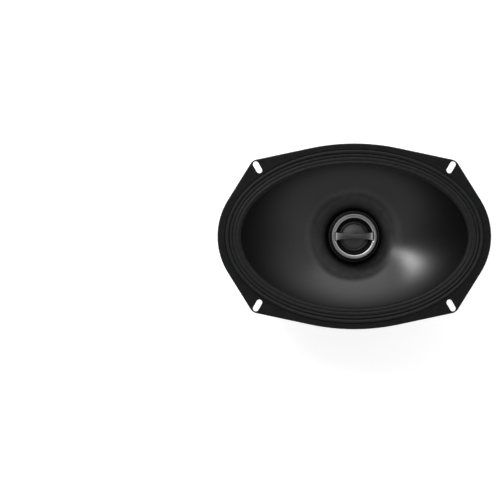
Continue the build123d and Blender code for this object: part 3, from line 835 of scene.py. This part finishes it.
# Solder at the lugs, and a dab of the same cement where each braid is fixed under the cone.
dab([(x, y, lug_top + 0.1 * MM) for x, y in lugs], (0.95 * MM, 0.95 * MM, 0.9 * MM),
    "lug_solder", tin, "frame")
dab([(-36.4 * MM, y, 57.0 * MM) for x, y in lugs], (2.1 * MM, 1.6 * MM, 0.8 * MM),
    "lead_cement", black_cement, "woofer")

# ---------------------------------------------------------------- blocking capacitor
# A small bipolar electrolytic that keeps bass out of the tweeter: aluminium can in a dark blue
# shrink sleeve, rolled groove at one end, glued inside the end spoke.


def shrink_sleeve():
    material, tree, shader = surface("shrink_sleeve", (0.015, 0.03, 0.1), 0.0, 0.22, Coat_Weight=0.3)
    place = place_of(tree)
    tint(tree, noise(tree, place, 3 * MM, 3), (0.012, 0.025, 0.085), (0.02, 0.04, 0.13),
         shader.inputs["Base Color"])
    tree.links.new(relief(tree, noise(tree, place, 1.5 * MM, 2), 0.02 * MM), shader.inputs["Normal"])
    return material


low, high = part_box("crossover_capacitor")
can_radius, can_half = (high[2] - low[2]) / 2, (high[1] - low[1]) / 2
can_centre = Vector(((low[0] + high[0]) / 2, 0, (low[2] + high[2]) / 2))
groove_at = can_half - 2.2 * MM
groove_half, groove_depth, plug_recess = 0.7 * MM, 0.35 * MM, 0.3 * MM
profile = [(0, -can_half), (can_radius - 0.6 * MM, -can_half),
           (can_radius - 0.15 * MM, -can_half + 0.2 * MM), (can_radius, -can_half + 0.7 * MM),
           (can_radius, groove_at - groove_half), (can_radius - groove_depth, groove_at),
           (can_radius, groove_at + groove_half), (can_radius, can_half - 0.5 * MM),
           (can_radius - 0.5 * MM, can_half), (can_radius - 1.0 * MM, can_half),
           (can_radius - 1.1 * MM, can_half - plug_recess), (0, can_half - plug_recess)]
mesh = turn(profile, steps=64, closed=False)
bmesh.ops.rotate(mesh, verts=mesh.verts, cent=(0, 0, 0),
                 matrix=Matrix.Rotation(math.radians(90), 3, "X"))
bmesh.ops.translate(mesh, verts=mesh.verts, vec=can_centre)
piece_of(mesh, "blocking_capacitor", shrink_sleeve(), "frame", "crossover_capacitor")

# ---------------------------------------------------------------- fixed wires
# A sleeved lead from the capacitor, round the spoke's edge to the terminal block, and two black
# wires down the magnet's side, in along the back plate's groove and up the post to the tweeter.


def wire_sleeve(name, base):
    material, tree, shader = surface(name, (base,) * 3, 0.0, 0.38)
    place = place_of(tree)
    spread(tree, noise(tree, place, 1 * MM, 3), 0.3, 0.5, shader.inputs["Roughness"])
    tint(tree, noise(tree, place, 2 * MM, 3), (base * 0.8,) * 3, (base * 1.3,) * 3,
         shader.inputs["Base Color"])
    return material


dress("capacitor_lead", wire_sleeve("lead_sleeve", 0.02))
dress("tweeter_leads", wire_sleeve("wire_insulation", 0.015))

# ---------------------------------------------------------------- floor, light and camera
# A pale sweep under the speaker, large soft lamps round it, and a long lens over its front.


def sweep():
    material, tree, shader = surface("pale_floor", (0.92, 0.92, 0.92), 0.0, 0.9)
    shader.inputs["Emission Color"].default_value = (1, 1, 1, 1)
    shader.inputs["Emission Strength"].default_value = 0.6
    return material


mesh = bmesh.new()
bmesh.ops.create_grid(mesh, x_segments=8, y_segments=8, size=4)
floor_data = bpy.data.meshes.new("floor")
mesh.to_mesh(floor_data)
mesh.free()
floor_data.materials.append(sweep())
floor = bpy.data.objects.new("floor", floor_data)
bpy.context.collection.objects.link(floor)

world = bpy.data.worlds.new("studio")
world.use_nodes = True
bpy.context.scene.world = world
tree = world.node_tree
background = tree.nodes["Background"]
where = tree.nodes.new("ShaderNodeTexCoord")
parts = tree.nodes.new("ShaderNodeSeparateXYZ")
tree.links.new(where.outputs["Generated"], parts.inputs["Vector"])


def shades(value, stops):
    """A grey by the value, through (position, grey) stops."""
    ramp = tree.nodes.new("ShaderNodeValToRGB")
    for k, (position, grey) in enumerate(stops):
        spot = ramp.color_ramp.elements[k] if k < 2 else ramp.color_ramp.elements.new(position)
        spot.position = position
        spot.color = (grey, grey, grey, 1)
    tree.links.new(value, ramp.inputs["Fac"])
    return ramp.outputs["Color"]


# Dark overhead, bright from about 40 degrees off the vertical down to the horizon.
dome = [(0.0, 0.42), (0.25, 0.7), (0.5, 1.05), (0.707, 1.0), (0.78, 0.7), (0.83, 0.34), (0.87, 0.1),
        (0.91, 0.015), (1.0, 0.004)]
tree.links.new(shades(parts.outputs["Z"], dome), background.inputs["Color"])
round_about = tree.nodes.new("ShaderNodeMapRange")
round_about.inputs["From Min"].default_value = -1
tree.links.new(parts.outputs["Y"], round_about.inputs["Value"])
sides = [(0.1, 0.26), (0.4, 0.4), (0.79, 0.42), (0.84, 0.55), (0.9, 1.0), (0.95, 1.0),
         (0.985, 0.35)]
spread(tree, shades(round_about.outputs["Result"], sides), 0, 2.4, background.inputs["Strength"])

speaker_centre = Vector((0, 0, 60 * MM))


def lamp(name, direction, distance, size, power):
    """A soft oval lamp that faces the speaker from that direction."""
    light = bpy.data.lights.new(name, "AREA")
    light.shape = "ELLIPSE"
    light.size, light.size_y = size
    light.energy = power
    holder = bpy.data.objects.new(name, light)
    bpy.context.collection.objects.link(holder)
    way = Vector(direction).normalized()
    holder.location = speaker_centre + way * distance
    holder.rotation_euler = way.to_track_quat("Z", "Y").to_euler()


key_side = (-0.585, 0.62, 0.975)
lamp("key_lamp", key_side, 1.3, (0.36, 0.15), 2.0)
lamp("key_halo", key_side, 1.35, (0.64, 0.26), 3.0)

lens, sensor = 200, 36
view_width, view_centre = 430.5 * MM, (-89.9 * MM, -11.75 * MM)
camera_data = bpy.data.cameras.new("camera")
camera_data.lens = lens
camera_data.sensor_width = sensor
camera_data.clip_end = 20
camera = bpy.data.objects.new("camera", camera_data)
bpy.context.collection.objects.link(camera)
camera.location = (*view_centre, cad_high[2] + view_width * lens / sensor)
bpy.context.scene.camera = camera
bpy.context.scene.view_settings.view_transform = "Standard"
